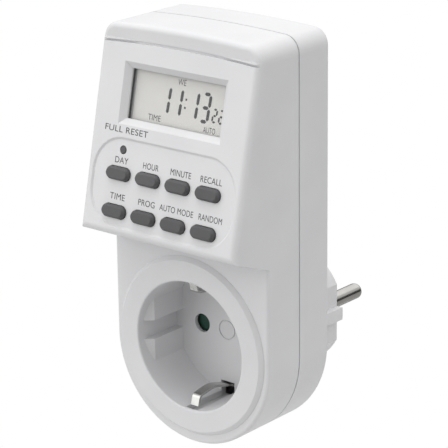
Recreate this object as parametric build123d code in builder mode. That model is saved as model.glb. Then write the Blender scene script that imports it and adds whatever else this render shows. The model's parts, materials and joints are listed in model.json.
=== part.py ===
from build123d import *
import os
from math import cos, radians, sin, tan

# Plug-in programmable timer with a recessed earthed socket on its front and a plug on its back.
# Origin: centre of the plug's pin-side face. +Y runs along the pins into the wall, +Z is up,
# +X is to the right of someone who looks at the front.

os.makedirs("parts", exist_ok=True)

# ---------------------------------------------------------------- driving dimensions, mm
body_width = 57.0
body_half = body_width / 2
top_z = 93.0
top_arch_radius = 420.0
top_corner_radius = 5.0
foot_drop = 1.4           # the foot's arc is centred this far below the socket
wall = 2.0

mouth_y = -50.0           # front face of the socket's raised ring
front_y = -48.8           # flat front below the control panel
cap_y = -51.5             # front of the strip above the panel
parting_y = -34.8         # where the two casing halves meet
parting_gap = 0.35        # width of the shadow line between them
parting_gap_depth = 0.5
back_y = -20.9            # back of the casing, where the plug stands out

panel_foot_y = -63.6
panel_foot_z = 34.4
panel_tilt = 12.4
shelf_z = 29.0            # where the panel's underside meets the flat front

# socket recess and plug
pin_half_pitch = 9.5
recess_radius = 19.5
recess_depth = 17.5
recess_floor = 2.0
cup_radius = 22.2
pin_hole_radius = 2.85
pin_radius = 2.4
pin_collar_radius = 2.9   # a pin's collar in the plug's face wall, flush with the face
pin_length = 19.0
boss_radius = 18.5
boss_flat_x = 16.3
boss_rib_half = 1.9
plug_face_wall = 3.0

floor_y = mouth_y + recess_depth
floor_back_y = floor_y + recess_floor
inner_back_y = back_y - wall

# earth strips
earth_half_width = 2.1
clip_half_width = 1.4     # the strip is narrower inside the socket
earth_thickness = 0.7
earth_run_z = 17.6        # outer face of the strip behind the socket and along the plug
earth_groove_z = earth_run_z - earth_thickness

# control panel, measured up the slope from its foot
window_v = 40.2
window_size = (37.4, 17.7)
window_inner = (33.8, 14.2)
window_bevel_depth = 1.5
pad_v = 14.95
pad_size = (52.4, 25.6)
pad_corner = 10.3
pad_depth = 0.4
pad_slope = 0.6
key_pitch = 10.94
key_rows = (17.4, 6.6)
key_size = (8.5, 3.7)
key_gap = 0.15
key_rise = 1.1
reset_place = (-15.9, 24.2)
reset_radius = 1.1

# depths below the panel's outer face
flange_depth = 2.3
flange_thickness = 0.8
key_foot_depth = 5.9
pill_thickness = 0.45
collar_depth = 4.6
mat_depth = 6.4
board_depth = 7.4
board_thickness = 1.6

tilt = radians(panel_tilt)
PANEL = Plane(
    origin=(0, panel_foot_y, panel_foot_z),
    x_dir=(1, 0, 0),
    z_dir=(0, -cos(tilt), sin(tilt)),
)
FRONT = Plane.XZ          # its normal is -Y, so an offset of d lies at y = -d


def front_plane(y):
    """Plane that faces the user at the given y."""
    return FRONT.offset(-y)


def panel_plane(depth):
    """Plane parallel to the control panel, at a depth below its outer face."""
    return PANEL.offset(-depth)


def body_outline(inset, y=0):
    """Front view of the casing at the given y: round foot, straight sides, arched top."""
    half = body_half - inset
    crown = top_z - inset
    shoulder = crown - half**2 / (2 * top_arch_radius)
    with BuildSketch(front_plane(y)) as outline:
        with BuildLine():
            ThreePointArc((-half, -foot_drop), (0, -foot_drop - half), (half, -foot_drop))
            Line((half, -foot_drop), (half, shoulder))
            ThreePointArc((half, shoulder), (0, crown), (-half, shoulder))
            Line((-half, shoulder), (-half, -foot_drop))
        make_face()
        top_corners = outline.vertices().sort_by(Axis.Y)[-2:]
        fillet(top_corners, radius=top_corner_radius - inset)
    return outline.sketch


def side_profile(half, inset):
    """Side view of the front casing at x = -half, open towards the parting plane."""
    head_z = top_z - 5.0
    low_z = -body_half - foot_drop - inset - 1
    head_y = panel_foot_y + (head_z - panel_foot_z) * tan(tilt)
    with BuildSketch(Plane.YZ.offset(-half)) as profile:
        Polygon(
            (parting_y + inset, top_z + inset + 1),
            (cap_y, top_z + inset + 1),
            (cap_y, head_z),
            (head_y, head_z),
            (panel_foot_y, panel_foot_z),
            (front_y, shelf_z),
            (front_y, low_z),
            (parting_y + inset, low_z),
            align=None,
        )
        if inset:
            offset(amount=-inset, kind=Kind.INTERSECTION)
    return profile.sketch


# ---------------------------------------------------------------- front casing
ring_radius = 26.9
ring_rise = front_y - mouth_y
mark_radius = 3.05
mark_width = 0.35
groove_drop = 4.7         # from the crown down to the groove
groove_width = 0.6
groove_depth = 0.3
pin_hole_lip = 1.1        # the pin holes are wider behind this much of the floor
pin_hole_relief = 3.4
casing_screw_places = [(-22.0, 85.3), (22.0, 85.3), (-16.1, -16.1), (16.1, -16.1)]
screw_post_radius = 3.0
board_post_places = [(-23.2, 12.0), (23.2, 12.0), (-23.2, 45.5), (23.2, 45.5)]
board_post_radius = 1.7
casing_pilot_radius = 1.3
casing_pilot_depth = 9.0
board_pilot_radius = 0.85
carrier_y = floor_back_y + 2.1
carrier_screw_places = [(0.0, 11.6), (0.0, -11.6)]
carrier_post_radius = 2.2
carrier_pilot_radius = 0.9
block_face_x = 16.9
block_height = 8.0
block_slot_half = 2.85
channel_half = 2.2
channel_z = 21.2
floor_slot_z = 16.3
key_columns = [(i - 1.5) * key_pitch for i in range(4)]
key_places = [(x, v) for v in key_rows for x in key_columns]

with BuildPart() as front_cavity:
    extrude(side_profile(body_half, wall), amount=body_width)
    extrude(body_outline(wall), amount=80, mode=Mode.INTERSECT)

# guide blocks on both sides of the recess, with sloped noses and a slot between them
with BuildPart() as guide_blocks:
    with BuildSketch(Plane.XY.offset(block_slot_half)):
        with BuildLine():
            Polyline(
                (block_face_x, floor_y + 0.2),
                (block_face_x, mouth_y + 4.6),
                (recess_radius + 0.3, mouth_y + 2.0),
                (recess_radius + 0.3, floor_y + 0.2),
                close=True,
            )
        make_face()
    extrude(amount=block_height)
    mirror(about=Plane.XY)
    mirror(about=Plane.YZ)
    with BuildSketch(front_plane(mouth_y)):
        Circle(recess_radius + 0.3)
    extrude(amount=-recess_depth - 1, mode=Mode.INTERSECT)

with BuildPart() as front_casing:
    extrude(side_profile(body_half + 1, 0), amount=body_width + 2)
    extrude(body_outline(0), amount=80, mode=Mode.INTERSECT)

    # rounded edges of the cap, the panel and the lower front
    cap_face = front_casing.faces().filter_by(FRONT).sort_by(Axis.Z)[-1]
    fillet(cap_face.edges().filter_by(lambda edge: edge.center().Z > top_z - 4), radius=1.5)
    panel_face = front_casing.faces().filter_by(PANEL)[0]
    fillet(panel_face.edges().filter_by(lambda edge: edge.center().Z < top_z - 8), radius=1.9)
    front_faces = front_casing.faces().filter_by(FRONT)
    lower_face = front_faces.filter_by(lambda face: face.center().Z < shelf_z).sort_by(Axis.Y)[0]
    fillet(lower_face.edges().filter_by(lambda edge: edge.center().Z < shelf_z - 1), radius=1.0)
    parting_face = front_casing.faces().filter_by(FRONT).sort_by(Axis.Y)[-1]
    chamfer(parting_face.edges(), length=0.15)

    add(front_cavity.part, mode=Mode.SUBTRACT)

    # shadow groove between the cap and the panel
    with BuildSketch(front_plane(panel_foot_y)):
        with Locations((0, top_z - top_arch_radius)):
            Circle(top_arch_radius - groove_drop)
            Circle(top_arch_radius - groove_drop - groove_width, mode=Mode.SUBTRACT)
        with Locations((0, top_z - 10)):
            Rectangle(body_width + 2, 20, mode=Mode.INTERSECT)
    extrude(amount=panel_foot_y - cap_y - groove_depth, mode=Mode.SUBTRACT)

    # socket ring, cup and recess
    with BuildSketch(front_plane(mouth_y)):
        Circle(ring_radius)
    extrude(amount=mouth_y - front_y - wall / 2)
    ring_edges = front_casing.edges().filter_by(GeomType.CIRCLE)
    ring_edges = ring_edges.filter_by(lambda edge: abs(edge.radius - ring_radius) < 0.01)
    chamfer(ring_edges.sort_by(Axis.Y)[0], length=ring_rise - 0.1)
    with BuildSketch(front_plane(mouth_y + 0.5)):
        Circle(cup_radius)
    extrude(amount=mouth_y + 0.5 - floor_back_y)
    with BuildSketch(front_plane(mouth_y)):
        Circle(recess_radius)
    extrude(amount=-recess_depth, mode=Mode.SUBTRACT)
    add(guide_blocks.part)
    mouth_edges = front_casing.edges().filter_by(GeomType.CIRCLE)
    mouth_edges = mouth_edges.filter_by(lambda edge: abs(edge.radius - recess_radius) < 0.01)
    fillet(mouth_edges.sort_by(Axis.Y)[0], radius=0.5)

    # channels and floor slots for the earth clips
    with BuildSketch(front_plane(mouth_y + 1.0)):
        with Locations((0, channel_z - 2), (0, 2 - channel_z)):
            Rectangle(2 * channel_half, 4)
    extrude(amount=1.0 - recess_depth, mode=Mode.SUBTRACT)
    slot_height = channel_z - floor_slot_z
    with BuildSketch(front_plane(floor_y)):
        with Locations((0, channel_z - slot_height / 2), (0, slot_height / 2 - channel_z)):
            Rectangle(2 * earth_half_width + 0.8, slot_height)
    extrude(amount=-recess_floor, mode=Mode.SUBTRACT)

    # pin holes, relieved from behind, and the round moulding mark between them
    with BuildSketch(front_plane(floor_y)):
        with GridLocations(2 * pin_half_pitch, 0, 2, 1):
            Circle(pin_hole_radius)
    extrude(amount=-recess_floor, mode=Mode.SUBTRACT)
    with BuildSketch(front_plane(floor_back_y)):
        with GridLocations(2 * pin_half_pitch, 0, 2, 1):
            Circle(pin_hole_relief)
    extrude(amount=recess_floor - pin_hole_lip, mode=Mode.SUBTRACT)
    with BuildSketch(front_plane(floor_y)):
        Circle(mark_radius)
        Circle(mark_radius - mark_width, mode=Mode.SUBTRACT)
    extrude(amount=-0.25, mode=Mode.SUBTRACT)

    # display window: bevelled frame, then a straight opening
    with BuildSketch(panel_plane(0)):
        with Locations((0, window_v)):
            Rectangle(*window_size)
    with BuildSketch(panel_plane(window_bevel_depth)):
        with Locations((0, window_v)):
            Rectangle(*window_inner)
    loft(mode=Mode.SUBTRACT)
    with BuildSketch(panel_plane(0)):
        with Locations((0, window_v)):
            Rectangle(*window_inner)
    extrude(amount=-wall - 1, mode=Mode.SUBTRACT)

    # shallow sunk field around the keys, with a sloped border
    with BuildSketch(panel_plane(0)):
        with Locations((0, pad_v)):
            RectangleRounded(*pad_size, pad_corner)
    with BuildSketch(panel_plane(pad_depth)):
        with Locations((0, pad_v)):
            RectangleRounded(
                pad_size[0] - 2 * pad_slope, pad_size[1] - 2 * pad_slope, pad_corner - pad_slope
            )
    loft(mode=Mode.SUBTRACT)

    # key openings and the reset hole
    with BuildSketch(panel_plane(0)):
        with Locations(*key_places):
            SlotOverall(key_size[0] + 2 * key_gap, key_size[1] + 2 * key_gap)
        with Locations(reset_place):
            Circle(reset_radius + key_gap)
    extrude(amount=-wall - 1, mode=Mode.SUBTRACT)

    # posts for the control board, with pilot holes
    with BuildSketch(panel_plane(board_depth)):
        with Locations(*board_post_places):
            Circle(board_post_radius)
    extrude(amount=board_depth - wall + 0.2)
    with BuildSketch(panel_plane(board_depth)):
        with Locations(*board_post_places):
            Circle(board_pilot_radius)
    extrude(amount=board_depth - wall - 0.4, mode=Mode.SUBTRACT)

    # posts that take the casing screws, and the ones for the contact carrier
    for place in casing_screw_places:
        root_y = cap_y if place[1] > 0 else front_y
        with BuildSketch(front_plane(floor_back_y)):
            with Locations(place):
                Circle(screw_post_radius)
        extrude(amount=floor_back_y - root_y - wall / 2)
    with BuildSketch(front_plane(floor_back_y)):
        with Locations(*casing_screw_places):
            Circle(casing_pilot_radius)
    extrude(amount=casing_pilot_depth, mode=Mode.SUBTRACT)
    with BuildSketch(front_plane(carrier_y)):
        with Locations(*carrier_screw_places):
            Circle(carrier_post_radius)
    extrude(amount=carrier_y - floor_back_y)
    with BuildSketch(front_plane(carrier_y)):
        with Locations(*carrier_screw_places):
            Circle(carrier_pilot_radius)
    extrude(amount=carrier_y - floor_y - 0.4, mode=Mode.SUBTRACT)

front_casing.part.label = "front_casing"
export_step(front_casing.part, "parts/front_casing.step")

# ---------------------------------------------------------------- rear casing and plug body
screw_tube_radius = 3.9
screw_hole_radius = 1.6
head_recess_radius = 2.7
head_recess_depth = 5.0
power_post_places = [(-22.3, 32.0), (22.3, 32.0), (-22.3, 76.0), (22.3, 76.0)]
power_post_radius = 2.2
power_board_back_y = inner_back_y - 1.8
power_board_front_y = power_board_back_y - 1.6
carrier_thickness = 2.0
boss_groove_half = 3.2
hook_y = -3.3
hook_z = 15.2

with BuildPart() as rear_casing:
    extrude(body_outline(0, back_y), amount=back_y - parting_y - parting_gap)
    back_face = rear_casing.faces().sort_by(Axis.Y)[-1]
    fillet(back_face.edges(), radius=1.2)
    extrude(body_outline(parting_gap_depth, parting_y + parting_gap), amount=parting_gap)

    # plug body: round, flat at both sides, with a rib along the middle of each flat
    with BuildSketch(front_plane(back_y - 0.5)):
        Circle(boss_radius)
        Rectangle(2 * boss_flat_x, 40, mode=Mode.INTERSECT)
        with BuildSketch(front_plane(back_y - 0.5), mode=Mode.PRIVATE) as boss_rib:
            Circle(boss_radius)
            Rectangle(40, 2 * boss_rib_half, mode=Mode.INTERSECT)
        add(boss_rib.sketch)
    extrude(amount=back_y - 0.5)
    plug_face = rear_casing.faces().sort_by(Axis.Y)[-1]
    chamfer(plug_face.edges(), length=0.7)

    extrude(
        body_outline(wall, inner_back_y), amount=inner_back_y - parting_y, mode=Mode.SUBTRACT
    )
    with BuildSketch(front_plane(-plug_face_wall)):
        Circle(boss_radius - wall)
        Rectangle(2 * (boss_flat_x - wall), 40, mode=Mode.INTERSECT)
    extrude(amount=-plug_face_wall - inner_back_y, mode=Mode.SUBTRACT)

    # grooves for the earth strips, on thickened beds, with a slot for each hooked end
    bed_height = 3.0
    with BuildSketch(front_plane(-plug_face_wall)):
        with Locations((0, earth_groove_z - 0.9), (0, 0.9 - earth_groove_z)):
            Rectangle(2 * boss_groove_half + 3.0, bed_height)
        Circle(boss_radius - 0.5, mode=Mode.INTERSECT)
    extrude(amount=-plug_face_wall - inner_back_y)
    with BuildSketch(front_plane(0)):
        with Locations((0, earth_groove_z + 2), (0, -earth_groove_z - 2)):
            Rectangle(2 * boss_groove_half, 4)
    extrude(amount=-back_y, mode=Mode.SUBTRACT)
    with BuildSketch(front_plane(back_y)):
        with Locations((0, earth_run_z - 0.35), (0, 0.35 - earth_run_z)):
            Rectangle(2 * earth_half_width + 0.6, earth_thickness + 0.6)
    extrude(amount=wall, mode=Mode.SUBTRACT)
    with BuildSketch(front_plane(hook_y + 0.6)):
        with Locations((0, earth_groove_z), (0, -earth_groove_z)):
            Rectangle(2 * earth_half_width + 0.4, 2 * (earth_groove_z - hook_z) + 0.4)
    extrude(amount=1.2, mode=Mode.SUBTRACT)

    # holes for the plug pins
    with BuildSketch(front_plane(0)):
        with GridLocations(2 * pin_half_pitch, 0, 2, 1):
            Circle(pin_collar_radius + 0.03)
    extrude(amount=plug_face_wall, mode=Mode.SUBTRACT)

    # tubes for the casing screws, with a deep recess for each head
    with BuildSketch(front_plane(inner_back_y)):
        with Locations(*casing_screw_places):
            Circle(screw_tube_radius)
    extrude(amount=inner_back_y - floor_back_y - 0.1)
    with BuildSketch(front_plane(back_y)):
        with Locations(*casing_screw_places):
            Circle(screw_hole_radius)
    extrude(amount=back_y - floor_back_y, mode=Mode.SUBTRACT)
    with BuildSketch(front_plane(back_y)):
        with Locations(*casing_screw_places):
            Circle(head_recess_radius)
    extrude(amount=head_recess_depth, mode=Mode.SUBTRACT)

    # posts for the power board
    with BuildSketch(front_plane(power_board_back_y)):
        with Locations(*power_post_places):
            Circle(power_post_radius)
    extrude(amount=power_board_back_y - inner_back_y)
    with BuildSketch(front_plane(power_board_back_y)):
        with Locations(*power_post_places):
            Circle(board_pilot_radius)
    extrude(amount=power_board_back_y - back_y + 0.7, mode=Mode.SUBTRACT)

rear_casing.part.label = "rear_casing"
export_step(rear_casing.part, "parts/rear_casing.step")


# ---------------------------------------------------------------- screws
def cross_head_screw(head_radius, head_height, shank_radius, shank_length):
    """Pan-head screw on +Z, with its seat at the origin and its shank along -Z."""
    with BuildPart() as screw:
        with BuildSketch():
            Circle(head_radius)
        extrude(amount=head_height)
        fillet(screw.faces().sort_by(Axis.Z)[-1].edges(), radius=head_height * 0.35)
        with BuildSketch(Plane.XY.offset(head_height)):
            Rectangle(head_radius * 1.2, head_radius * 0.28)
            Rectangle(head_radius * 0.28, head_radius * 1.2)
        extrude(amount=-head_height * 0.55, mode=Mode.SUBTRACT)
        with BuildSketch():
            Circle(shank_radius)
        extrude(amount=-shank_length)
        chamfer(screw.faces().sort_by(Axis.Z)[0].edges(), length=shank_radius * 0.5)
    return screw.part


casing_screw = cross_head_screw(2.5, 1.9, 1.25, 11.5)
board_screw = cross_head_screw(1.9, 1.3, 0.8, 5.0)
carrier_screw = cross_head_screw(1.9, 1.2, 0.85, 5.2)
power_screw = cross_head_screw(1.9, 1.3, 0.8, 4.0)


def facing_back(y):
    """Plane at the given y whose normal points back, with x to the right of the front view."""
    return Plane(origin=(0, y, 0), x_dir=(1, 0, 0), z_dir=(0, 1, 0))


with BuildPart() as casing_screws:
    for x, z in casing_screw_places:
        with Locations(facing_back(back_y - head_recess_depth) * Pos(x, -z)):
            add(casing_screw)
casing_screws.part.label = "casing_screws"
export_step(casing_screws.part, "parts/casing_screws.step")

with BuildPart() as control_board_screws:
    board_back = Plane(
        origin=panel_plane(board_depth + board_thickness).origin,
        x_dir=(1, 0, 0),
        z_dir=-PANEL.z_dir,
    )
    for x, v in board_post_places:
        with Locations(board_back * Pos(x, -v)):
            add(board_screw)
control_board_screws.part.label = "control_board_screws"
export_step(control_board_screws.part, "parts/control_board_screws.step")

with BuildPart() as carrier_screws:
    for x, z in carrier_screw_places:
        with Locations(facing_back(carrier_y + carrier_thickness) * Pos(x, -z)):
            add(carrier_screw)
carrier_screws.part.label = "carrier_screws"
export_step(carrier_screws.part, "parts/carrier_screws.step")

with BuildPart() as power_board_screws:
    for x, z in power_post_places:
        with Locations(front_plane(power_board_front_y) * Pos(x, z)):
            add(power_screw)
power_board_screws.part.label = "power_board_screws"
export_step(power_board_screws.part, "parts/power_board_screws.step")


# ---------------------------------------------------------------- display
pane_flange = (35.8, 16.2)
pane_back_depth = 2.8
cell_size = (38.0, 16.0)
cell_depth = 3.0
cell_back_depth = 5.4
cell_rear_glass = 1.1
cell_ledge = 1.8          # the front glass leaves this much of the rear one free for the contacts
holder_size = (41.0, 18.6)
holder_front_depth = 2.85
strip_v = 6.9
strip_size = (34.0, 1.7)

with BuildPart() as display_window:
    with BuildSketch(panel_plane(pane_back_depth)):
        with Locations((0, window_v)):
            Rectangle(*pane_flange)
    extrude(amount=pane_back_depth - wall)
    with BuildSketch(panel_plane(wall)):
        with Locations((0, window_v)):
            Rectangle(window_inner[0] - 0.4, window_inner[1] - 0.4)
    extrude(amount=wall - window_bevel_depth)
display_window.part.label = "display_window"
export_step(display_window.part, "parts/display_window.step")

with BuildPart() as lcd_cell:
    with BuildSketch(panel_plane(cell_back_depth)):
        with Locations((0, window_v)):
            Rectangle(*cell_size)
    extrude(amount=cell_rear_glass)
    with BuildSketch(panel_plane(cell_back_depth - cell_rear_glass)):
        with Locations((0, window_v - cell_ledge / 2)):
            Rectangle(cell_size[0], cell_size[1] - cell_ledge)
    extrude(amount=cell_back_depth - cell_rear_glass - cell_depth)
lcd_cell.part.label = "lcd_cell"
export_step(lcd_cell.part, "parts/lcd_cell.step")

with BuildPart() as lcd_holder:
    with BuildSketch(panel_plane(board_depth)):
        with Locations((0, window_v)):
            Rectangle(*holder_size)
    extrude(amount=board_depth - holder_front_depth)
    with BuildSketch(panel_plane(holder_front_depth)):
        with Locations((0, window_v)):
            Rectangle(cell_size[0] + 0.2, cell_size[1] + 0.2)
    extrude(amount=holder_front_depth - cell_back_depth - 0.05, mode=Mode.SUBTRACT)
    with BuildSketch(panel_plane(board_depth)):
        with Locations((0, window_v + strip_v), (0, window_v - strip_v)):
            Rectangle(strip_size[0] + 0.4, strip_size[1] + 0.3)
    extrude(amount=board_depth - cell_back_depth, mode=Mode.SUBTRACT)
lcd_holder.part.label = "lcd_holder"
export_step(lcd_holder.part, "parts/lcd_holder.step")

with BuildPart() as lcd_contact_strips:
    with BuildSketch(panel_plane(board_depth)):
        with Locations((0, window_v + strip_v), (0, window_v - strip_v)):
            Rectangle(*strip_size)
    extrude(amount=board_depth - cell_back_depth)
lcd_contact_strips.part.label = "lcd_contact_strips"
export_step(lcd_contact_strips.part, "parts/lcd_contact_strips.step")


# ---------------------------------------------------------------- control board and what it carries
board_back_depth = board_depth + board_thickness
board_low_v = 2.0
board_high_v = 49.5
board_half = 25.4
board_hole_radius = 1.0

with BuildPart() as control_board:
    with BuildSketch(panel_plane(board_back_depth)):
        with Locations((0, (board_low_v + board_high_v) / 2)):
            Rectangle(2 * board_half, board_high_v - board_low_v)
        with Locations(*board_post_places):
            Circle(board_hole_radius, mode=Mode.SUBTRACT)
    extrude(amount=board_thickness)
control_board.part.label = "control_board"
export_step(control_board.part, "parts/control_board.step")

chip_place = (2.0, 36.0)
chip_radius = 5.6
chip_height = 1.5
with BuildPart() as timer_chip:
    with BuildSketch(panel_plane(board_back_depth)):
        with Locations(chip_place):
            Circle(chip_radius)
    extrude(amount=-chip_height)
    fillet(timer_chip.faces().sort_by(Axis.Y)[-1].edges(), radius=chip_height - 0.2)
timer_chip.part.label = "timer_chip"
export_step(timer_chip.part, "parts/timer_chip.step")

crystal_radius = 1.0
crystal_length = 6.0
crystal_end = Location((9.0, 40.0, 0), (0, 90, 0))
with BuildPart() as clock_crystal:
    with BuildSketch(Plane(panel_plane(board_back_depth + crystal_radius) * crystal_end)):
        Circle(crystal_radius)
    extrude(amount=crystal_length)
clock_crystal.part.label = "clock_crystal"
export_step(clock_crystal.part, "parts/clock_crystal.step")

battery_place = (-11.0, 15.0)
battery_radius = 5.8
battery_height = 4.2
battery_step = 0.5         # height of the smaller round end
tab_width = 3.0
tab_foot = 0.4             # thickness of the strip under the cell
tab_top = 0.3
tab_post_x = battery_place[0] + 7.0
with BuildPart() as backup_battery:
    with BuildSketch(panel_plane(board_back_depth + tab_foot)):
        with Locations(battery_place):
            Circle(battery_radius)
    extrude(amount=-battery_height)
    fillet(backup_battery.faces().sort_by(Axis.Y)[-1].edges(), radius=0.6)
    with BuildSketch(panel_plane(board_back_depth + tab_foot + battery_height)):
        with Locations(battery_place):
            Circle(battery_radius - 1.6)
    extrude(amount=-battery_step)
backup_battery.part.label = "backup_battery"
export_step(backup_battery.part, "parts/backup_battery.step")

# one strip under the cell and one bent over it, both soldered to the board
with BuildPart() as battery_tabs:
    with BuildSketch(panel_plane(board_back_depth)):
        with Locations((battery_place[0] - 4.0, battery_place[1])):
            Rectangle(9.0, tab_width)
    extrude(amount=-tab_foot)
    tab_top_depth = board_back_depth + tab_foot + battery_height + battery_step
    with BuildSketch(panel_plane(tab_top_depth)):
        with Locations((tab_post_x - 4.4, battery_place[1])):
            Rectangle(9.2, tab_width)
    extrude(amount=-tab_top)
    with BuildSketch(panel_plane(board_back_depth)):
        with Locations((tab_post_x, battery_place[1])):
            Rectangle(0.4, tab_width)
    extrude(amount=board_back_depth - tab_top_depth - tab_top)
battery_tabs.part.label = "battery_tabs"
export_step(battery_tabs.part, "parts/battery_tabs.step")


# ---------------------------------------------------------------- keypad
key_names = [
    "day_key", "hour_key", "minute_key", "recall_key",
    "clock_key", "program_key", "mode_key", "random_key",
]
flange_grow = 1.4
collar_gap = 0.3
collar_wall = 0.6
collar_inner = (key_size[0] + 2 * collar_gap, key_size[1] + 2 * collar_gap)
collar_outer = (collar_inner[0] + 2 * collar_wall, collar_inner[1] + 2 * collar_wall)
mat_size = (44.4, 25.6)
mat_corner = 3.0
pill_size = (5.0, 2.6)
reset_pill_radius = 1.1
reset_stem_radius = 1.5
reset_sunk = 0.35

with BuildPart() as keypad_mat:
    with BuildSketch(panel_plane(board_depth)):
        with Locations((0, 15.0)):
            RectangleRounded(*mat_size, mat_corner)
        with Locations(*board_post_places[:2]):
            Circle(board_post_radius + 0.4, mode=Mode.SUBTRACT)
    extrude(amount=board_depth - mat_depth)
    with BuildSketch(panel_plane(mat_depth)):
        with Locations(*key_places):
            SlotOverall(*collar_outer)
        with Locations(reset_place):
            Circle(reset_stem_radius + collar_gap + collar_wall)
    extrude(amount=mat_depth - collar_depth)
    with BuildSketch(panel_plane(board_depth)):
        with Locations(*key_places):
            SlotOverall(*collar_inner)
        with Locations(reset_place):
            Circle(reset_stem_radius + collar_gap)
    extrude(amount=board_depth, mode=Mode.SUBTRACT)
keypad_mat.part.label = "keypad_mat"
export_step(keypad_mat.part, "parts/keypad_mat.step")

for name, place in zip(key_names, key_places):
    with BuildPart() as key:
        with BuildSketch(panel_plane(key_foot_depth)):
            with Locations(place):
                SlotOverall(*key_size)
        extrude(amount=key_foot_depth + key_rise)
        crown = key.faces().filter_by(PANEL).sort_by(Axis.Y)[0]
        chamfer(crown.edges(), length=0.75, length2=0.55)
        with BuildSketch(panel_plane(flange_depth + flange_thickness)):
            with Locations(place):
                SlotOverall(key_size[0] + flange_grow, key_size[1] + flange_grow)
        extrude(amount=flange_thickness)
    key.part.label = name
    export_step(key.part, f"parts/{name}.step")

    with BuildPart() as pill:
        with BuildSketch(panel_plane(key_foot_depth + pill_thickness)):
            with Locations(place):
                SlotOverall(*pill_size)
        extrude(amount=pill_thickness)
    pill.part.label = f"{name}_contact"
    export_step(pill.part, f"parts/{name}_contact.step")

with BuildPart() as reset_key:
    with BuildSketch(panel_plane(key_foot_depth)):
        with Locations(reset_place):
            Circle(reset_stem_radius)
    extrude(amount=key_foot_depth - flange_depth)
    with BuildSketch(panel_plane(flange_depth)):
        with Locations(reset_place):
            Circle(reset_radius)
    extrude(amount=flange_depth - reset_sunk)
    fillet(reset_key.faces().filter_by(PANEL).sort_by(Axis.Y)[0].edges(), radius=0.35)
    with BuildSketch(panel_plane(flange_depth + flange_thickness)):
        with Locations(reset_place):
            Circle(reset_stem_radius + 0.6)
    extrude(amount=flange_thickness)
reset_key.part.label = "reset_key"
export_step(reset_key.part, "parts/reset_key.step")

with BuildPart() as reset_key_contact:
    with BuildSketch(panel_plane(key_foot_depth + pill_thickness)):
        with Locations(reset_place):
            Circle(reset_pill_radius)
    extrude(amount=pill_thickness)
reset_key_contact.part.label = "reset_key_contact"
export_step(reset_key_contact.part, "parts/reset_key_contact.step")


# ---------------------------------------------------------------- power board and its components
board_z_low = 26.0
board_z_high = 80.0
power_board_width = 49.0
lead_radius = 0.35

with BuildPart() as power_board:
    with BuildSketch(front_plane(power_board_back_y)):
        with Locations((0, (board_z_low + board_z_high) / 2)):
            Rectangle(power_board_width, board_z_high - board_z_low)
        with Locations(*power_post_places):
            Circle(board_hole_radius, mode=Mode.SUBTRACT)
    extrude(amount=power_board_back_y - power_board_front_y)
power_board.part.label = "power_board"
export_step(power_board.part, "parts/power_board.step")

relay_place = (10.5, 42.0)
relay_size = (19.0, 15.5)
relay_height = 15.3
with BuildPart() as relay:
    with BuildSketch(front_plane(power_board_front_y)):
        with Locations(relay_place):
            RectangleRounded(*relay_size, 0.8)
    extrude(amount=relay_height)
    fillet(relay.faces().sort_by(Axis.Y)[0].edges(), radius=0.6)
relay.part.label = "relay"
export_step(relay.part, "parts/relay.step")

dropper_place = (-11.0, 39.5)
dropper_size = (18.0, 8.5)
dropper_height = 14.5
with BuildPart() as dropper_capacitor:
    with BuildSketch(front_plane(power_board_front_y)):
        with Locations(dropper_place):
            Rectangle(*dropper_size)
    extrude(amount=dropper_height)
    fillet(dropper_capacitor.faces().sort_by(Axis.Y)[0].edges(), radius=0.5)
dropper_capacitor.part.label = "dropper_capacitor"
export_step(dropper_capacitor.part, "parts/dropper_capacitor.step")

can_place = (-14.0, 52.0)
can_radius = 4.0
can_height = 11.5
with BuildPart() as smoothing_capacitor:
    with BuildSketch(front_plane(power_board_front_y)):
        with Locations(can_place):
            Circle(can_radius)
    extrude(amount=can_height)
    fillet(smoothing_capacitor.faces().sort_by(Axis.Y)[0].edges(), radius=0.5)
    with BuildSketch(front_plane(power_board_front_y - 1.6)):
        with Locations(can_place):
            Circle(can_radius + 0.1)
            Circle(can_radius - 0.25, mode=Mode.SUBTRACT)
    extrude(amount=0.6, mode=Mode.SUBTRACT)
smoothing_capacitor.part.label = "smoothing_capacitor"
export_step(smoothing_capacitor.part, "parts/smoothing_capacitor.step")

varistor_x = -4.5
varistor_z = 54.0
varistor_radius = 4.6
varistor_thickness = 3.4
lead_spread = 2.5
with BuildPart() as surge_varistor:
    with BuildSketch(Plane.YZ.offset(varistor_x)):
        with Locations((power_board_front_y - varistor_radius - 1.8, varistor_z)):
            Circle(varistor_radius)
    extrude(amount=varistor_thickness)
    fillet(surge_varistor.edges().filter_by(GeomType.CIRCLE), radius=1.0)
    with BuildSketch(front_plane(power_board_front_y)):
        lead_x = varistor_x + varistor_thickness / 2
        with Locations((lead_x, varistor_z - lead_spread), (lead_x, varistor_z + lead_spread)):
            Circle(lead_radius)
    extrude(amount=3.2)
surge_varistor.part.label = "surge_varistor"
export_step(surge_varistor.part, "parts/surge_varistor.step")


def axial_part(x, z, length, radius):
    """Round component that lies along X above the power board on two bent leads."""
    axis_y = power_board_front_y - radius - 0.4
    reach = length / 2 + 1.6
    with BuildPart() as component:
        with BuildSketch(Plane.YZ.offset(x - length / 2)):
            with Locations((axis_y, z)):
                Circle(radius)
        extrude(amount=length)
        fillet(component.edges().filter_by(GeomType.CIRCLE), radius=radius * 0.25)
        with BuildSketch(Plane.YZ.offset(x - reach)):
            with Locations((axis_y, z)):
                Circle(lead_radius)
        extrude(amount=2 * reach)
        with BuildSketch(front_plane(power_board_front_y)):
            with Locations((x - reach + lead_radius, z), (x + reach - lead_radius, z)):
                Circle(lead_radius)
        extrude(amount=radius + 0.4)
    return component.part


fuse = axial_part(10.5, 55.5, 8.0, 1.7)
fuse.label = "fuse"
export_step(fuse, "parts/fuse.step")

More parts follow.
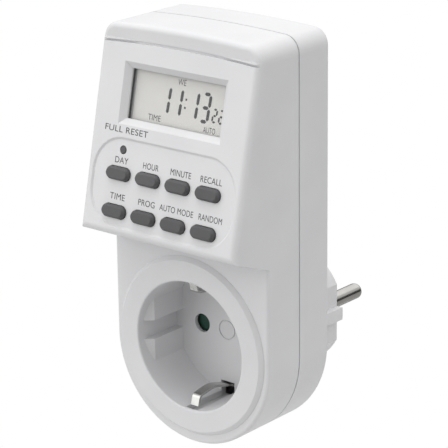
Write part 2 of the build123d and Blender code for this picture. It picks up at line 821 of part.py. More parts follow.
with BuildPart() as rectifier_diodes:
    for z in (61.0, 64.5, 68.0, 71.5):
        add(axial_part(-2.0, z, 4.4, 1.2))
rectifier_diodes.part.label = "rectifier_diodes"
export_step(rectifier_diodes.part, "parts/rectifier_diodes.step")

with BuildPart() as resistors:
    for z in (61.0, 65.0, 69.0):
        add(axial_part(11.0, z, 6.0, 1.2))
resistors.part.label = "resistors"
export_step(resistors.part, "parts/resistors.step")

# flat cable between the two boards, bent in an S
ribbon_thickness = 0.8
cable_top = Vector(0, power_board_front_y, 74.0)
cable_v = 30.0
cable_stub = 6.0
cable_left = -21.0
cable_width = 9.0
cable_end = panel_plane(board_back_depth).from_local_coords(Vector(0, cable_v, 0))
cable_turn = panel_plane(board_back_depth).from_local_coords(Vector(0, cable_v, -cable_stub))
with BuildPart() as ribbon_cable:
    with BuildSketch(Plane.YZ.offset(cable_left)):
        with BuildLine() as cable_route:
            FilletPolyline(
                (cable_top.Y, cable_top.Z),
                (cable_top.Y - 7.0, cable_top.Z),
                (cable_turn.Y, cable_turn.Z),
                (cable_end.Y, cable_end.Z),
                radius=2.0,
            )
        trace(line_width=ribbon_thickness)
    extrude(amount=cable_width)
ribbon_cable.part.label = "ribbon_cable"
export_step(ribbon_cable.part, "parts/ribbon_cable.step")


# ---------------------------------------------------------------- contacts behind the socket
tower_side = 9.4
tower_end_y = -12.0
sleeve_start_y = carrier_y + carrier_thickness + 0.4
sleeve_end_y = tower_end_y + 0.2
sleeve_radius = 3.4
sleeve_bore = 2.5
tag_y = -24.9
tag_top = 8.5
tag_width = 3.0
tag_thickness = 0.6
carrier_radius = 16.2
carrier_hole_radius = 1.1
pivot_radius = 1.5
sleeve_slit = 0.9

with BuildPart() as contact_carrier:
    with BuildSketch(front_plane(carrier_y + carrier_thickness)):
        Circle(carrier_radius)
    extrude(amount=carrier_thickness)
    with BuildSketch(front_plane(tower_end_y)):
        with GridLocations(2 * pin_half_pitch, 0, 2, 1):
            Rectangle(tower_side, tower_side)
    extrude(amount=tower_end_y - carrier_y - carrier_thickness)
    with BuildSketch(front_plane(tower_end_y)):
        with GridLocations(2 * pin_half_pitch, 0, 2, 1):
            Circle(sleeve_radius + 0.1)
    extrude(amount=tower_end_y - sleeve_start_y + 0.2, mode=Mode.SUBTRACT)
    with BuildSketch(front_plane(tower_end_y)):
        with GridLocations(2 * pin_half_pitch, 0, 2, 1):
            Circle(pin_hole_radius + 0.1)
    extrude(amount=tower_end_y - carrier_y, mode=Mode.SUBTRACT)
    # open side of each tower, where the solder tag comes out
    with BuildSketch(front_plane(tower_end_y)):
        with Locations((-pin_half_pitch, 4.0), (pin_half_pitch, 4.0)):
            Rectangle(3.6, 3.0)
    extrude(amount=tower_end_y - tag_y + 0.6, mode=Mode.SUBTRACT)
    # screw holes and the shutter's pivot
    with BuildSketch(front_plane(carrier_y + carrier_thickness)):
        with Locations(*carrier_screw_places):
            Circle(carrier_hole_radius)
    extrude(amount=carrier_thickness, mode=Mode.SUBTRACT)
    with BuildSketch(front_plane(carrier_y)):
        Circle(pivot_radius)
    extrude(amount=carrier_y - floor_back_y - 0.1)
contact_carrier.part.label = "contact_carrier"
export_step(contact_carrier.part, "parts/contact_carrier.step")


def contact(side):
    """Sprung sleeve for one plug pin with its solder tag, at x = side * half pitch."""
    x = side * pin_half_pitch
    with BuildPart() as sleeve:
        with BuildSketch(front_plane(sleeve_end_y)):
            with Locations((x, 0)):
                Circle(sleeve_radius)
        extrude(amount=sleeve_end_y - sleeve_start_y)
        with BuildSketch(front_plane(sleeve_end_y - 0.8)):
            with Locations((x, 0)):
                Circle(sleeve_bore)
        extrude(amount=sleeve_end_y - sleeve_start_y, mode=Mode.SUBTRACT)
        with BuildSketch(front_plane(sleeve_end_y - 5.0)):
            with Locations((x, 0)):
                Rectangle(sleeve_slit, 9.0)
                Rectangle(9.0, sleeve_slit)
        extrude(amount=sleeve_end_y - sleeve_start_y, mode=Mode.SUBTRACT)
        with BuildSketch(front_plane(sleeve_end_y - 1.5)):
            with Locations((x, sleeve_radius + 0.9)):
                Rectangle(tag_width, 2.4)
        extrude(amount=tag_thickness)
        with BuildSketch(Plane.XY.offset(sleeve_radius + 1.5)):
            with Locations((x, (sleeve_end_y - 2.1 + tag_y) / 2)):
                Rectangle(tag_width, sleeve_end_y - 1.5 - tag_y + 0.3)
        extrude(amount=tag_thickness)
        with BuildSketch(front_plane(tag_y + 0.3)):
            with Locations((x, (sleeve_radius + 1.5 + tag_top) / 2)):
                Rectangle(tag_width, tag_top - sleeve_radius - 1.5)
        extrude(amount=tag_thickness)
    return sleeve.part


live_contact = contact(1)
live_contact.label = "live_contact"
export_step(live_contact, "parts/live_contact.step")
neutral_contact = contact(-1)
neutral_contact.label = "neutral_contact"
export_step(neutral_contact, "parts/neutral_contact.step")

# swinging safety shutter that covers both pin holes at rest
shutter_front_y = floor_back_y + 0.2
shutter_thickness = 1.7
shutter_pad = 3.7
shutter_hub = 3.4
shutter_arm = 4.4
shutter_bore = pivot_radius + 0.05
shutter_relief = (2.9, 0.7)    # radius and depth of the room for the spring
with BuildPart() as shutter:
    with BuildSketch(front_plane(shutter_front_y + shutter_thickness)):
        Circle(shutter_hub)
        Rectangle(2 * pin_half_pitch, shutter_arm)
        with GridLocations(2 * pin_half_pitch, 0, 2, 1):
            Circle(shutter_pad)
        Circle(shutter_bore, mode=Mode.SUBTRACT)
    extrude(amount=shutter_thickness)
    pads = shutter.faces().sort_by(Axis.Y)[0].edges().filter_by(GeomType.CIRCLE)
    chamfer(pads.filter_by(lambda edge: abs(edge.radius - shutter_pad) < 0.01), length=0.7)
    with BuildSketch(front_plane(shutter_front_y + shutter_thickness)):
        Circle(shutter_relief[0])
        Circle(shutter_bore, mode=Mode.SUBTRACT)
    extrude(amount=shutter_relief[1], mode=Mode.SUBTRACT)
shutter.part.label = "shutter"
export_step(shutter.part, "parts/shutter.step")

spring_wire = 0.2
spring_radius = 2.2
spring_y = carrier_y - 0.3
with BuildPart() as shutter_spring:
    with BuildSketch(Plane.XY):
        with Locations((spring_radius, spring_y)):
            Circle(spring_wire)
    revolve(axis=Axis.Y)
shutter_spring.part.label = "shutter_spring"
export_step(shutter_spring.part, "parts/shutter_spring.step")


# ---------------------------------------------------------------- plug pins
tail_y = -9.0
pin_tip_round = 1.7
pin_flange = 2.0
pin_flange_radius = 3.3
pin_tail_radius = 1.6
with BuildPart() as plug_pin:
    with BuildSketch(facing_back(0)):
        Circle(pin_radius)
    extrude(amount=pin_length)
    fillet(plug_pin.faces().sort_by(Axis.Y)[-1].edges(), radius=pin_tip_round)
    with BuildSketch(facing_back(0)):
        Circle(pin_collar_radius)
    extrude(amount=-plug_face_wall)
    with BuildSketch(facing_back(-plug_face_wall)):
        Circle(pin_flange_radius)
    extrude(amount=-pin_flange)
    with BuildSketch(facing_back(-plug_face_wall - pin_flange)):
        Circle(pin_tail_radius)
    extrude(amount=tail_y + plug_face_wall + pin_flange)

live_plug_pin = Pos(pin_half_pitch, 0, 0) * plug_pin.part
live_plug_pin.label = "live_plug_pin"
export_step(live_plug_pin, "parts/live_plug_pin.step")
neutral_plug_pin = Pos(-pin_half_pitch, 0, 0) * plug_pin.part
neutral_plug_pin.label = "neutral_plug_pin"
export_step(neutral_plug_pin, "parts/neutral_plug_pin.step")

link_radius = 1.8
with BuildPart() as neutral_link:
    with BuildSketch(facing_back(sleeve_end_y)):
        with Locations((-pin_half_pitch, 0)):
            Circle(link_radius)
    extrude(amount=tail_y - sleeve_end_y)
neutral_link.part.label = "neutral_link"
export_step(neutral_link.part, "parts/neutral_link.step")


# ---------------------------------------------------------------- earth strips
strip_mid_z = earth_run_z - earth_thickness / 2
clip_rise = (mouth_y + 10.0, 15.0)
clip_bend = (mouth_y + 3.4, 16.0)
clip_tip = (mouth_y + 2.6, 19.0)


def earth_strip(side):
    """Strip from the plug body's groove to the clip in the recess; side is 1 above, -1 below."""
    with BuildPart() as strip:
        with BuildSketch(Plane.YZ.offset(-earth_half_width)):
            with BuildLine():
                FilletPolyline(
                    (hook_y, side * hook_z),
                    (hook_y, side * strip_mid_z),
                    (floor_y + 0.8, side * strip_mid_z),
                    (clip_rise[0], side * clip_rise[1]),
                    (clip_bend[0], side * clip_bend[1]),
                    (clip_tip[0], side * clip_tip[1]),
                    radius=(0.6, 3.5, 9.0, 1.3),
                )
            trace(line_width=earth_thickness)
        extrude(amount=2 * earth_half_width)
        trim = earth_half_width - clip_half_width
        with BuildSketch(front_plane(floor_y)):
            with GridLocations(2 * clip_half_width + trim, 0, 2, 1):
                Rectangle(trim, 2 * recess_radius + 2)
        extrude(amount=recess_depth, mode=Mode.SUBTRACT)
    return strip.part


upper_earth_strip = earth_strip(1)
upper_earth_strip.label = "upper_earth_strip"
export_step(upper_earth_strip, "parts/upper_earth_strip.step")
lower_earth_strip = earth_strip(-1)
lower_earth_strip.label = "lower_earth_strip"
export_step(lower_earth_strip, "parts/lower_earth_strip.step")

bridge_y = -24.2
bridge_width = 3.4
with BuildPart() as earth_bridge:
    with BuildSketch(front_plane(bridge_y)):
        Rectangle(bridge_width, 2 * earth_groove_z)
    extrude(amount=earth_thickness)
earth_bridge.part.label = "earth_bridge"
export_step(earth_bridge.part, "parts/earth_bridge.step")


# ---------------------------------------------------------------- mains wiring
wire_radius = 0.8


def wire(points, radii):
    """Insulated wire along straight runs joined by arcs."""
    with BuildPart() as run:
        with BuildLine() as route:
            FilletPolyline(*points, radius=radii)
        with BuildSketch(Plane(origin=route.line @ 0, z_dir=route.line % 0)):
            Circle(wire_radius)
        sweep()
    return run.part


board_edge_y = power_board_front_y + 0.8
live_wire = wire(
    [
        (9.5, -7.2, 1.6),
        (9.5, -7.2, 6.0),
        (12.0, -12.0, 9.2),
        (12.2, tag_y, 9.2),
        (13.6, tag_y, 18.0),
        (13.4, board_edge_y, 22.5),
        (13.4, board_edge_y, board_z_low),
    ],
    [2.0, 2.5, 2.5, 4.0, 4.0],
)
live_wire.label = "live_wire"
export_step(live_wire, "parts/live_wire.step")

switched_live_wire = wire(
    [
        (9.5, tag_y, tag_top),
        (9.5, tag_y, 12.5),
        (7.6, tag_y, 18.0),
        (7.4, board_edge_y, 22.5),
        (7.4, board_edge_y, board_z_low),
    ],
    [5.0, 5.0, 4.0],
)
switched_live_wire.label = "switched_live_wire"
export_step(switched_live_wire, "parts/switched_live_wire.step")

neutral_wire = wire(
    [
        (-9.5, tag_y, tag_top),
        (-9.5, tag_y, 12.5),
        (-12.0, tag_y, 18.0),
        (-12.2, board_edge_y, 22.5),
        (-12.2, board_edge_y, board_z_low),
    ],
    [5.0, 5.0, 4.0],
)
neutral_wire.label = "neutral_wire"
export_step(neutral_wire, "parts/neutral_wire.step")
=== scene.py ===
import json
from math import cos, radians, sin

import bpy
from mathutils import Matrix, Vector


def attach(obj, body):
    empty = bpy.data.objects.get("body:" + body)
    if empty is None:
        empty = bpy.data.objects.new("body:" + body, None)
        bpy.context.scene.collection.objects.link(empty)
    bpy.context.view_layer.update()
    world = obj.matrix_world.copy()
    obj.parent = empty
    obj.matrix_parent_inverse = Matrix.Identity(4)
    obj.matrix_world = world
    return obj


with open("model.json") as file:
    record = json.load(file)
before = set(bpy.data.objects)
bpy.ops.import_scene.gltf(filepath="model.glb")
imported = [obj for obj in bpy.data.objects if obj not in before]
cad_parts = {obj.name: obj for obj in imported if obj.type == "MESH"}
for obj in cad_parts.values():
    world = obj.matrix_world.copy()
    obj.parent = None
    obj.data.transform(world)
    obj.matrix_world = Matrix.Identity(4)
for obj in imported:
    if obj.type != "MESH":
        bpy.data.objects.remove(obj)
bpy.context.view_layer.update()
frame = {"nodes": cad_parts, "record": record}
scene = bpy.context.scene
MM = 0.001

# ---------------------------------------------------------------- control panel's frame
TILT = radians(12.4)
PANEL_FOOT = Vector((0.0, -63.6, 34.4)) * MM
PANEL_UP = Vector((0.0, sin(TILT), cos(TILT)))
PANEL_IN = Vector((0.0, cos(TILT), -sin(TILT)))


def on_panel(x, v, depth=0.0):
    """Point on the control panel: x across, v up the slope, depth below its face, all in mm."""
    return PANEL_FOOT + (Vector((x, 0.0, 0.0)) + PANEL_UP * v + PANEL_IN * depth) * MM


def panel_matrix(x, v, depth):
    """Local X across the panel, local Y up the slope, local Z out of it."""
    m = Matrix((Vector((1.0, 0.0, 0.0)), PANEL_UP, -PANEL_IN)).transposed().to_4x4()
    m.translation = on_panel(x, v, depth)
    return m


# ---------------------------------------------------------------- materials
class Nodes:
    """Short way to write a procedural material."""

    def __init__(self, name):
        self.material = bpy.data.materials.new(name)
        self.material.use_nodes = True
        self.tree = self.material.node_tree
        self.shader = self.tree.nodes["Principled BSDF"]
        self.place = self.add("ShaderNodeTexCoord").outputs["Object"]

    def add(self, kind, **settings):
        node = self.tree.nodes.new(kind)
        for key, value in settings.items():
            setattr(node, key, value)
        return node

    def link(self, source, target):
        self.tree.links.new(source, target)

    def set(self, **values):
        names = {
            "color": "Base Color", "rough": "Roughness", "metal": "Metallic", "ior": "IOR",
            "coat": "Coat Weight", "coat_rough": "Coat Roughness", "specular": "Specular IOR Level",
            "alpha": "Alpha",
        }
        for key, value in values.items():
            if key == "color":
                value = (*value, 1.0)
            self.shader.inputs[names[key]].default_value = value

    def noise(self, scale, detail=2.0, stretch=(1, 1, 1), rough=0.5):
        mapping = self.add("ShaderNodeMapping")
        mapping.inputs["Scale"].default_value = stretch
        self.link(self.place, mapping.inputs["Vector"])
        node = self.add("ShaderNodeTexNoise")
        node.inputs["Scale"].default_value = scale
        node.inputs["Detail"].default_value = detail
        node.inputs["Roughness"].default_value = rough
        self.link(mapping.outputs["Vector"], node.inputs["Vector"])
        return node.outputs["Fac"]

    def ramp(self, source, low, high, start=0.3, end=0.7):
        node = self.add("ShaderNodeValToRGB")
        node.color_ramp.elements[0].position = start
        node.color_ramp.elements[1].position = end
        node.color_ramp.elements[0].color = (*low, 1.0)
        node.color_ramp.elements[1].color = (*high, 1.0)
        self.link(source, node.inputs["Fac"])
        return node.outputs["Color"]

    def span(self, source, low, high):
        node = self.add("ShaderNodeMapRange")
        node.inputs["To Min"].default_value = low
        node.inputs["To Max"].default_value = high
        self.link(source, node.inputs["Value"])
        return node.outputs["Result"]

    def bump(self, height, distance, strength=1.0, edge=None):
        node = self.add("ShaderNodeBump")
        node.inputs["Distance"].default_value = distance
        node.inputs["Strength"].default_value = strength
        self.link(height, node.inputs["Height"])
        if edge:
            bevel = self.add("ShaderNodeBevel", samples=4)
            bevel.inputs["Radius"].default_value = edge
            self.link(bevel.outputs["Normal"], node.inputs["Normal"])
        self.link(node.outputs["Normal"], self.shader.inputs["Normal"])


def plastic(name, dark, light, rough=(0.42, 0.52), grain=2600.0, depth=0.00002, edge=0.00015):
    """Moulded plastic: cloudy colour, fine spark-eroded grain, softened edges."""
    n = Nodes(name)
    n.link(n.ramp(n.noise(70.0, 4.0), dark, light), n.shader.inputs["Base Color"])
    fine = n.noise(grain, 2.0)
    n.link(n.span(fine, *rough), n.shader.inputs["Roughness"])
    n.bump(fine, depth, 0.6, edge)
    return n.material


def metal(name, dark, light, rough, stretch=(1, 1, 1)):
    """Plated or rolled metal: fine drawing lines along one axis and slight staining."""
    n = Nodes(name)
    n.set(metal=1.0)
    n.link(n.ramp(n.noise(160.0, 3.0), dark, light), n.shader.inputs["Base Color"])
    lines = n.noise(900.0, 3.0, stretch)
    n.link(n.span(lines, *rough), n.shader.inputs["Roughness"])
    n.bump(lines, 0.000006, 0.5, 0.0001)
    return n.material


def clear_pane():
    """Clear acrylic pane, thin enough to see straight through."""
    n = Nodes("clear_window")
    n.set(color=(0.70, 0.72, 0.72), alpha=0.05, ior=1.49, specular=0.35)
    wipe = n.noise(90.0, 3.0, (1, 1, 1))
    n.link(n.span(wipe, 0.05, 0.12), n.shader.inputs["Roughness"])
    return n.material


def display_glass():
    """Reflective backing of the display under its polariser, slightly warm and softly mottled."""
    n = Nodes("lcd_glass")
    mottle = n.ramp(n.noise(2200.0, 2.0), (0.655, 0.645, 0.62), (0.70, 0.69, 0.665))
    n.link(mottle, n.shader.inputs["Base Color"])
    n.link(n.span(n.noise(300.0, 2.0), 0.30, 0.40), n.shader.inputs["Roughness"])
    n.bump(n.noise(3000.0, 1.0), 0.000004, 0.3)
    n.set(specular=0.3)
    return n.material


def laminate(name, dark, light):
    """Board laminate: faint weave under solder mask."""
    n = Nodes(name)
    waves = []
    for direction in ("X", "Z"):
        wave = n.add("ShaderNodeTexWave", bands_direction=direction)
        wave.inputs["Scale"].default_value = 420.0
        wave.inputs["Distortion"].default_value = 0.6
        n.link(n.place, wave.inputs["Vector"])
        waves.append(wave.outputs["Fac"])
    weave = n.add("ShaderNodeMath", operation="MULTIPLY")
    n.link(waves[0], weave.inputs[0])
    n.link(waves[1], weave.inputs[1])
    n.link(n.ramp(weave.outputs[0], dark, light, 0.0, 1.0), n.shader.inputs["Base Color"])
    n.bump(weave.outputs[0], 0.00001, 0.4)
    n.set(rough=0.4, coat=0.2, coat_rough=0.2)
    return n.material


ALONG_Y = (1.0, 0.04, 1.0)
MATERIALS = {
    "casing_plastic": plastic("casing_plastic", (0.665, 0.665, 0.675), (0.695, 0.695, 0.703), (0.44, 0.56),
                              2600.0, 0.00002, 0.0002),
    "key_rubber": plastic("key_rubber", (0.066, 0.066, 0.069), (0.086, 0.086, 0.089), (0.50, 0.66),
                          3600.0, 0.00002, 0.00018),
    "contact_carbon": plastic("contact_carbon", (0.012, 0.012, 0.013), (0.030, 0.030, 0.032)),
    "clear_window": clear_pane(),
    "lcd_glass": display_glass(),
    "holder_plastic": plastic("holder_plastic", (0.60, 0.60, 0.58), (0.68, 0.68, 0.66)),
    "board_laminate": laminate("board_laminate", (0.010, 0.085, 0.040), (0.022, 0.125, 0.060)),
    "chip_resin": plastic("chip_resin", (0.010, 0.010, 0.011), (0.026, 0.026, 0.028), (0.30, 0.50)),
    "tinned_metal": metal("tinned_metal", (0.40, 0.40, 0.39), (0.52, 0.52, 0.50), (0.14, 0.30), ALONG_Y),
    "pin_nickel": metal(
        "pin_nickel", (0.50, 0.49, 0.465), (0.58, 0.57, 0.545), (0.10, 0.18), (0.05, 1.0, 1.0)
    ),
    "contact_brass": metal("contact_brass", (0.62, 0.44, 0.17), (0.76, 0.57, 0.27), (0.20, 0.38), ALONG_Y),
    "screw_steel": metal("screw_steel", (0.42, 0.42, 0.43), (0.56, 0.56, 0.57), (0.26, 0.42)),
    "shutter_plastic": plastic(
        "shutter_plastic", (0.020, 0.075, 0.052), (0.030, 0.105, 0.072), (0.40, 0.55)
    ),
    "carrier_plastic": plastic("carrier_plastic", (0.25, 0.25, 0.26), (0.32, 0.32, 0.33)),
    "relay_plastic": plastic("relay_plastic", (0.04, 0.14, 0.38), (0.06, 0.18, 0.45), (0.25, 0.38)),
    "capacitor_film": plastic("capacitor_film", (0.66, 0.50, 0.16), (0.74, 0.60, 0.24), (0.20, 0.32)),
    "capacitor_can": plastic("capacitor_can", (0.02, 0.02, 0.035), (0.045, 0.045, 0.065), (0.22, 0.35)),
    "varistor_coat": plastic("varistor_coat", (0.04, 0.15, 0.40), (0.06, 0.20, 0.50), (0.35, 0.50)),
    "component_body": plastic("component_body", (0.015, 0.014, 0.013), (0.050, 0.046, 0.042), (0.25, 0.42)),
    "resistor_coat": plastic("resistor_coat", (0.56, 0.45, 0.30), (0.66, 0.55, 0.40), (0.30, 0.45)),
    "wire_brown": plastic("wire_brown", (0.16, 0.07, 0.03), (0.22, 0.10, 0.05), (0.35, 0.50)),
    "wire_blue": plastic("wire_blue", (0.04, 0.14, 0.46), (0.06, 0.19, 0.55), (0.35, 0.50)),
    "ribbon_grey": plastic("ribbon_grey", (0.50, 0.50, 0.51), (0.60, 0.60, 0.61), (0.40, 0.55)),
}
for part in frame["record"]["subparts"]:
    cad = frame["nodes"][part["node"]]
    cad.data.materials.clear()
    cad.data.materials.append(MATERIALS[part["material_slot"]])

legend_ink = plastic(
    "legend_ink", (0.030, 0.030, 0.032), (0.050, 0.050, 0.052), (0.55, 0.70), 4000.0, 0.00001, None
)
segment_ink = plastic(
    "segment_ink", (0.012, 0.012, 0.013), (0.022, 0.022, 0.024), (0.55, 0.65), 4000.0, 0.000005, None
)
# painted shade for the shadow gap round the display window: a near-black band and a grey band
gap_shade_black = plastic(
    "gap_shade_black", (0.020, 0.020, 0.022), (0.035, 0.035, 0.037), (0.45, 0.60), 2500.0, 0.00001, None
)
gap_shade_grey = plastic(
    "gap_shade_grey", (0.34, 0.34, 0.345), (0.40, 0.40, 0.405), (0.40, 0.55), 2500.0, 0.00001, None
)


# ---------------------------------------------------------------- pieces on the housing
def piece(name, mesh, matrix, material):
    """Links a mesh into the scene as one piece that rides on the housing."""
    obj = bpy.data.objects.new(name, mesh)
    scene.collection.objects.link(obj)
    mesh.materials.clear()
    mesh.materials.append(material)
    obj.matrix_world = matrix
    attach(obj, "housing")
    return obj


def flat_mesh(name, outlines):
    """Flat faces in the local XY plane from outlines in mm."""
    mesh = bpy.data.meshes.new(name)
    verts = [(x * MM, y * MM, 0.0) for outline in outlines for x, y in outline]
    faces, start = [], 0
    for outline in outlines:
        faces.append(tuple(range(start, start + len(outline))))
        start += len(outline)
    mesh.from_pydata(verts, [], faces)
    return mesh


def lettering(name, text, height, width):
    """Printed capitals as a flat mesh, centred, with the given cap height and overall width in mm."""
    curve = bpy.data.curves.new(name, "FONT")
    curve.body = text
    curve.align_x = "CENTER"
    curve.align_y = "CENTER"
    curve.size = 1.0
    curve.space_character = 1.04
    holder = bpy.data.objects.new(name, curve)
    scene.collection.objects.link(holder)
    bpy.context.view_layer.update()
    shape = holder.evaluated_get(bpy.context.evaluated_depsgraph_get())
    mesh = bpy.data.meshes.new_from_object(shape)
    bpy.data.objects.remove(holder)
    bpy.data.curves.remove(curve)
    xs = [p.co.x for p in mesh.vertices]
    ys = [p.co.y for p in mesh.vertices]
    sx = width * MM / (max(xs) - min(xs))
    sy = height * MM / (max(ys) - min(ys))
    centre = Vector(((max(xs) + min(xs)) / 2, (max(ys) + min(ys)) / 2, 0.0))
    for p in mesh.vertices:
        p.co = Vector(((p.co.x - centre.x) * sx, (p.co.y - centre.y) * sy, 0.0))
    return mesh


PRINT_RISE = 0.015
PAD_DEPTH = 0.4
CAP_HEIGHT = 1.75
KEY_PITCH = 10.94
LEGEND_SHIFT = 0.4
UPPER_ROW = 21.2
LOWER_ROW = 10.85
legends = [
    ("reset", "FULL RESET", -15.2, 29.85, 16.0, 0.0),
    ("day", "DAY", LEGEND_SHIFT - 1.5 * KEY_PITCH, UPPER_ROW, 4.9, PAD_DEPTH),
    ("hour", "HOUR", LEGEND_SHIFT - 0.5 * KEY_PITCH, UPPER_ROW, 5.7, PAD_DEPTH),
    ("minute", "MINUTE", LEGEND_SHIFT + 0.5 * KEY_PITCH, UPPER_ROW, 7.4, PAD_DEPTH),
    ("recall", "RECALL", LEGEND_SHIFT + 1.5 * KEY_PITCH, UPPER_ROW, 7.6, PAD_DEPTH),
    ("time", "TIME", LEGEND_SHIFT - 1.5 * KEY_PITCH, LOWER_ROW, 5.6, PAD_DEPTH),
    ("prog", "PROG", LEGEND_SHIFT - 0.5 * KEY_PITCH, LOWER_ROW, 6.1, PAD_DEPTH),
    ("auto_mode", "AUTO MODE", LEGEND_SHIFT + 0.5 * KEY_PITCH, LOWER_ROW, 12.2, PAD_DEPTH),
    ("random", "RANDOM", LEGEND_SHIFT + 1.62 * KEY_PITCH, LOWER_ROW, 8.3, PAD_DEPTH),
]
for name, text, x, v, width, depth in legends:
    mesh = lettering(f"legend_{name}", text, CAP_HEIGHT, width)
    piece(f"legend_{name}", mesh, panel_matrix(x, v, depth - PRINT_RISE), legend_ink)

# ---------------------------------------------------------------- display face
LCD_DEPTH = 2.97
DISPLAY_CAP_HEIGHT = 1.65
SEGMENTS = {
    "0": "abcdef", "1": "bc", "2": "abged", "3": "abgcd", "4": "fgbc", "5": "afgcd", "6": "afgedc",
    "7": "abc", "8": "abcdefg", "9": "abcdfg",
}


def digit(char, x, y, width, height, stroke, slant=0.06):
    """Outlines of one seven-segment digit whose lower left corner is at x, y, in mm."""
    half, gap, mid = stroke / 2, stroke * 0.18, height / 2
    bars = {
        "a": ((0, height), (width, height)), "g": ((0, mid), (width, mid)), "d": ((0, 0), (width, 0)),
        "f": ((0, mid), (0, height)), "b": ((width, mid), (width, height)),
        "e": ((0, 0), (0, mid)), "c": ((width, 0), (width, mid)),
    }
    outlines = []
    for bar in SEGMENTS[char]:
        (x0, y0), (x1, y1) = bars[bar]
        along = Vector((x1 - x0, y1 - y0)).normalized()
        across = Vector((-along.y, along.x))
        start = Vector((x0, y0)) + along * gap
        end = Vector((x1, y1)) - along * gap
        hexagon = [
            start, start + (along + across) * half, end + (across - along) * half,
            end, end - (along + across) * half, start + (along - across) * half,
        ]
        outlines.append([(x + p.x + p.y * slant, y + p.y) for p in hexagon])
    return outlines


def dot(x, y, size):
    return [(x - size, y - size), (x + size, y - size), (x + size, y + size), (x - size, y + size)]


# hours, minutes and seconds: digit, place of its left edge, then one size for each group
TIME_FOOT = 36.3
time_marks = []
for char, x in (("1", -6.35), ("1", -2.0), ("1", 3.85), ("3", 8.1)):
    time_marks += digit(char, x, TIME_FOOT, 2.5, 7.6, 1.0)
time_marks += [dot(2.45, 41.3, 0.3), dot(2.3, 39.0, 0.3)]
for char, x in (("2", 12.35), ("2", 14.65)):
    time_marks += digit(char, x, TIME_FOOT + 0.4, 1.25, 3.5, 0.6)
digits_mesh = flat_mesh("display_digits", time_marks)
piece("display_digits", digits_mesh, panel_matrix(0, 0, LCD_DEPTH), segment_ink)
display_words = [
    ("day", "WE", 0.3, 45.75, 2.9),
    ("time", "TIME", -8.2, 34.6, 4.6),
    ("auto", "AUTO", 11.8, 34.2, 4.2),
]
for name, text, x, v, width in display_words:
    mesh = lettering(f"display_{name}", text, DISPLAY_CAP_HEIGHT, width)
    piece(f"display_{name}", mesh, panel_matrix(x, v, LCD_DEPTH), segment_ink)


def picture_frame(name, outer, inner):
    """Flat frame between two rectangles (x0, y0, x1, y1), in mm."""
    mesh = bpy.data.meshes.new(name)
    verts = []
    for x0, y0, x1, y1 in (outer, inner):
        verts += [(x0, y0), (x1, y0), (x1, y1), (x0, y1)]
    faces = [(i, (i + 1) % 4, (i + 1) % 4 + 4, i + 4) for i in range(4)]
    mesh.from_pydata([(x * MM, y * MM, 0.0) for x, y in verts], [], faces)
    return mesh


# polariser film, then painted shade round it: a black band with a grey band inside it, standing in for the
# shadow gap at the display window's edge
GLASS_EDGE = (-18.9, 31.9, 18.9, 48.3)
DARK_SHADE_EDGE = (-16.85, 32.9, 17.8, 47.9)
GREY_SHADE_EDGE = (-16.3, 32.95, 17.75, 47.85)
film = flat_mesh("display_film", [[(-17.0, 32.8), (17.9, 32.8), (17.9, 48.0), (-17.0, 48.0)]])
film_place = panel_matrix(0, 0, LCD_DEPTH + 0.015)
piece("display_film", film, film_place, MATERIALS["lcd_glass"])
# painted shade: a flat black band where the window's edge casts its shadow gap
mask = picture_frame("display_gap_shade_dark", GLASS_EDGE, DARK_SHADE_EDGE)
piece("display_gap_shade_dark", mask, panel_matrix(0, 0, LCD_DEPTH - 0.03), gap_shade_black)
# painted shade: a grey band inside the black one, the lighter part of the same shadow gap
grey_gap_shade = picture_frame("display_gap_shade_grey", DARK_SHADE_EDGE, GREY_SHADE_EDGE)
piece("display_gap_shade_grey", grey_gap_shade, panel_matrix(0, 0, LCD_DEPTH - 0.02), gap_shade_grey)

# ---------------------------------------------------------------- floor, light and camera
floor_mesh = bpy.data.meshes.new("floor")
FLOOR_HALF = 0.34
FLOOR_Z = -0.30
corners = [(-1, -1), (1, -1), (1, 1), (-1, 1)]
floor_mesh.from_pydata([(x * FLOOR_HALF, y * FLOOR_HALF, 0) for x, y in corners], [], [(0, 1, 2, 3)])
floor = bpy.data.objects.new("floor", floor_mesh)
floor.location.z = FLOOR_Z
scene.collection.objects.link(floor)
floor_paint = Nodes("floor_paint")
floor_paint.link(
    floor_paint.ramp(floor_paint.noise(3.0), (0.70, 0.70, 0.70), (0.73, 0.73, 0.73)),
    floor_paint.shader.inputs["Base Color"],
)
floor_paint.set(rough=0.9)
floor_mesh.materials.append(floor_paint.material)

# brightness of the studio from straight below (0) to straight above (1)
SKY = ((0.0, 0.42), (0.46, 0.42), (0.54, 0.40), (0.64, 0.60), (0.80, 1.05), (1.0, 1.08))
# the same for the part of it behind the wall side, with a dark band that the pins mirror
REAR_SKY = ((0.0, 0.42), (0.40, 0.40), (0.47, 0.03), (0.60, 0.03), (0.66, 0.60), (1.0, 1.05))
world = bpy.data.worlds.new("studio")
scene.world = world
world.use_nodes = True
sky = world.node_tree.nodes["Background"]
sky.inputs["Color"].default_value = (1, 1, 1, 1)
rays = world.node_tree.nodes.new("ShaderNodeLightPath")
way = world.node_tree.nodes.new("ShaderNodeTexCoord")
parts = world.node_tree.nodes.new("ShaderNodeSeparateXYZ")
height = world.node_tree.nodes.new("ShaderNodeMapRange")
height.inputs["From Min"].default_value = -1.0
domes = []
for levels in (SKY, REAR_SKY):
    dome = world.node_tree.nodes.new("ShaderNodeValToRGB")
    for i, (place, level) in enumerate(levels):
        stop = dome.color_ramp.elements[i] if i < 2 else dome.color_ramp.elements.new(place)
        stop.position = place
        stop.color = (level, level, level, 1.0)
    domes.append(dome)
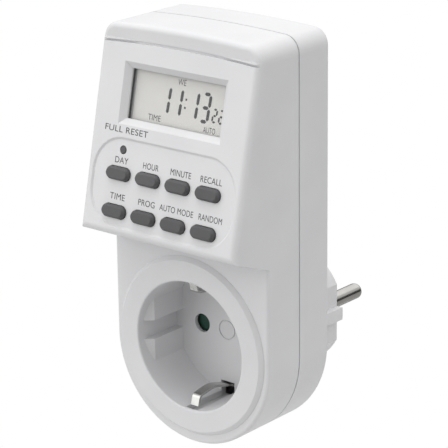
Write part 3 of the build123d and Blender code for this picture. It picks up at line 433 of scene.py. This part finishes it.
rearward = world.node_tree.nodes.new("ShaderNodeMapRange")
rearward.inputs["From Min"].default_value = 0.35
rearward.inputs["From Max"].default_value = 0.60
studio = world.node_tree.nodes.new("ShaderNodeMix")
studio.data_type = "FLOAT"
seen = world.node_tree.nodes.new("ShaderNodeMix")
seen.data_type = "FLOAT"
seen.inputs[3].default_value = 1.0
connect = world.node_tree.links.new
connect(way.outputs["Generated"], parts.inputs["Vector"])
connect(parts.outputs["Z"], height.inputs["Value"])
connect(parts.outputs["Y"], rearward.inputs["Value"])
for dome, slot in zip(domes, (2, 3)):
    connect(height.outputs["Result"], dome.inputs["Fac"])
    connect(dome.outputs["Color"], studio.inputs[slot])
connect(rearward.outputs["Result"], studio.inputs[0])
connect(rays.outputs["Is Camera Ray"], seen.inputs[0])
connect(studio.outputs[0], seen.inputs[2])
connect(seen.outputs[0], sky.inputs["Strength"])


def broad_light(name, origin, strength, spread):
    """Soft light from one direction, given as the point it comes from."""
    data = bpy.data.lights.new(name, "SUN")
    data.energy = strength
    data.angle = radians(spread)
    light = bpy.data.objects.new(name, data)
    light.rotation_mode = "QUATERNION"
    light.rotation_quaternion = (-Vector(origin)).to_track_quat("-Z", "Y")
    scene.collection.objects.link(light)


broad_light("overhead", (-0.10, -0.10, 1.0), 0.92, 45.0)
broad_light("front_left", (-0.85, -1.0, 0.24), 1.05, 60.0)
broad_light("right_rear", (1.0, 0.30, 0.25), 0.42, 60.0)
broad_light("rear", (-0.2, 1.0, 0.35), 0.42, 70.0)

camera_data = bpy.data.cameras.new("camera")
camera_data.sensor_width = 36.0
camera_data.lens = 173.97
camera_data.clip_start = 0.01
camera = bpy.data.objects.new("camera", camera_data)
view_matrix = Matrix((
    (0.77008, 0.63783, -0.01177),
    (-0.18881, 0.24550, 0.95083),
    (0.60936, -0.73000, 0.30949),
)).transposed().to_4x4()
view_matrix.translation = (0.380146, -0.488763, 0.225922)
camera.matrix_world = view_matrix
scene.collection.objects.link(camera)
scene.camera = camera
scene.view_settings.view_transform = "Standard"
